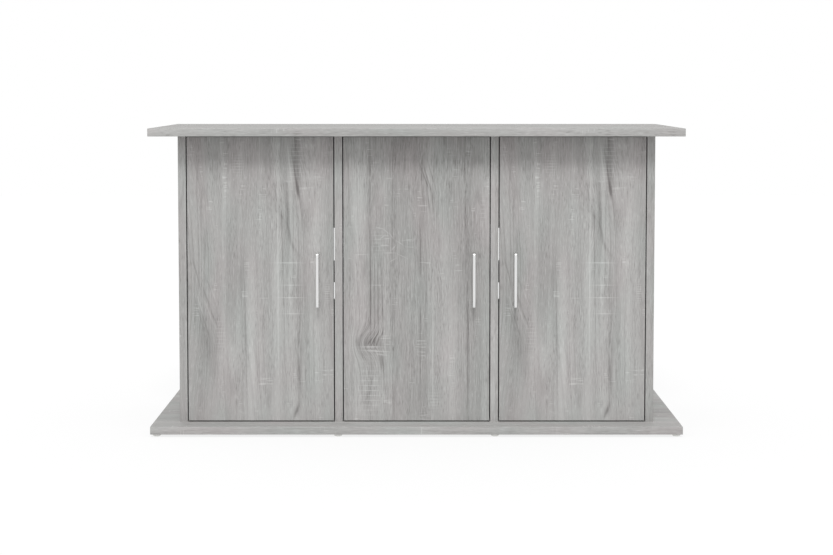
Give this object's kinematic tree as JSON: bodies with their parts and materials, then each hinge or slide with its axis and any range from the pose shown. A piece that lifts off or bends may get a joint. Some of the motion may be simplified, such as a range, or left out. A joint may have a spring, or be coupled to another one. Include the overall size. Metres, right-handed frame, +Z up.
{
  "type": "aquarium stand cabinet",
  "caption": "Low board cabinet that carries a rectangular aquarium: overhanging top and base boards, inset hinged doors with slim bow handles, shelves, and a back left partly open for hoses.",
  "frame": {"origin": "on the floor, under the middle of the cabinet's footprint", "axes": "+X to the right seen from the front, +Y to the back, +Z up; the doors face -Y"},
  "size_m": [1.01, 0.41, 0.585],
  "materials": {
    "grey_oak_board": "melamine face with grey saw-marked oak grain, low sheen",
    "satin_handle": "satin chrome-plated bow",
    "nickel_plate": "nickel-plated pressed steel",
    "bright_zinc": "bright zinc-plated steel",
    "cam_zinc": "plain die-cast zinc",
    "beech_dowel": "plain fluted beech",
    "glide_plastic": "pale grey moulded plastic"
  },
  "bodies": {
    "carcass": {"top_board": "grey_oak_board", "base_board": "grey_oak_board", "left_side_panel": "grey_oak_board", "right_side_panel": "grey_oak_board", "left_partition": "grey_oak_board", "right_partition": "grey_oak_board", "upper_back_rail": "grey_oak_board", "lower_back_rail": "grey_oak_board", "left_shelf": "grey_oak_board", "middle_shelf": "grey_oak_board", "right_shelf": "grey_oak_board", "shelf_pins": "bright_zinc", "cam_locks": "cam_zinc", "cam_bolts": "bright_zinc", "dowels": "beech_dowel", "back_rail_screws": "bright_zinc", "hinge_plates": "nickel_plate", "hinge_plate_screws": "bright_zinc", "hinge_arms": "nickel_plate", "hinge_arm_screws": "bright_zinc", "feet": "glide_plastic"},
    "left_door": {"left_door": "grey_oak_board", "left_handle": "satin_handle", "left_handle_screws": "bright_zinc", "left_hinge_cups": "nickel_plate", "left_hinge_cup_screws": "bright_zinc", "left_hinge_pins": "nickel_plate", "left_hinge_springs": "nickel_plate"},
    "middle_door": {"middle_door": "grey_oak_board", "middle_handle": "satin_handle", "middle_handle_screws": "bright_zinc", "middle_hinge_cups": "nickel_plate", "middle_hinge_cup_screws": "bright_zinc", "middle_hinge_pins": "nickel_plate", "middle_hinge_springs": "nickel_plate"},
    "right_door": {"right_door": "grey_oak_board", "right_handle": "satin_handle", "right_handle_screws": "bright_zinc", "right_hinge_cups": "nickel_plate", "right_hinge_cup_screws": "bright_zinc", "right_hinge_pins": "nickel_plate", "right_hinge_springs": "nickel_plate"}
  },
  "joints": [
    {"name": "left_door_hinge", "type": "hinge", "parent": "carcass", "child": "left_door", "pos_m": [-0.426, -0.1492, 0.295], "axis": [0, 0, -1], "range_deg": [0, 95]},
    {"name": "middle_door_hinge", "type": "hinge", "parent": "carcass", "child": "middle_door", "pos_m": [-0.12767, -0.1492, 0.295], "axis": [0, 0, -1], "range_deg": [0, 95]},
    {"name": "right_door_hinge", "type": "hinge", "parent": "carcass", "child": "right_door", "pos_m": [0.426, -0.1492, 0.295], "axis": [0, 0, 1], "range_deg": [0, 95]}
  ]
}
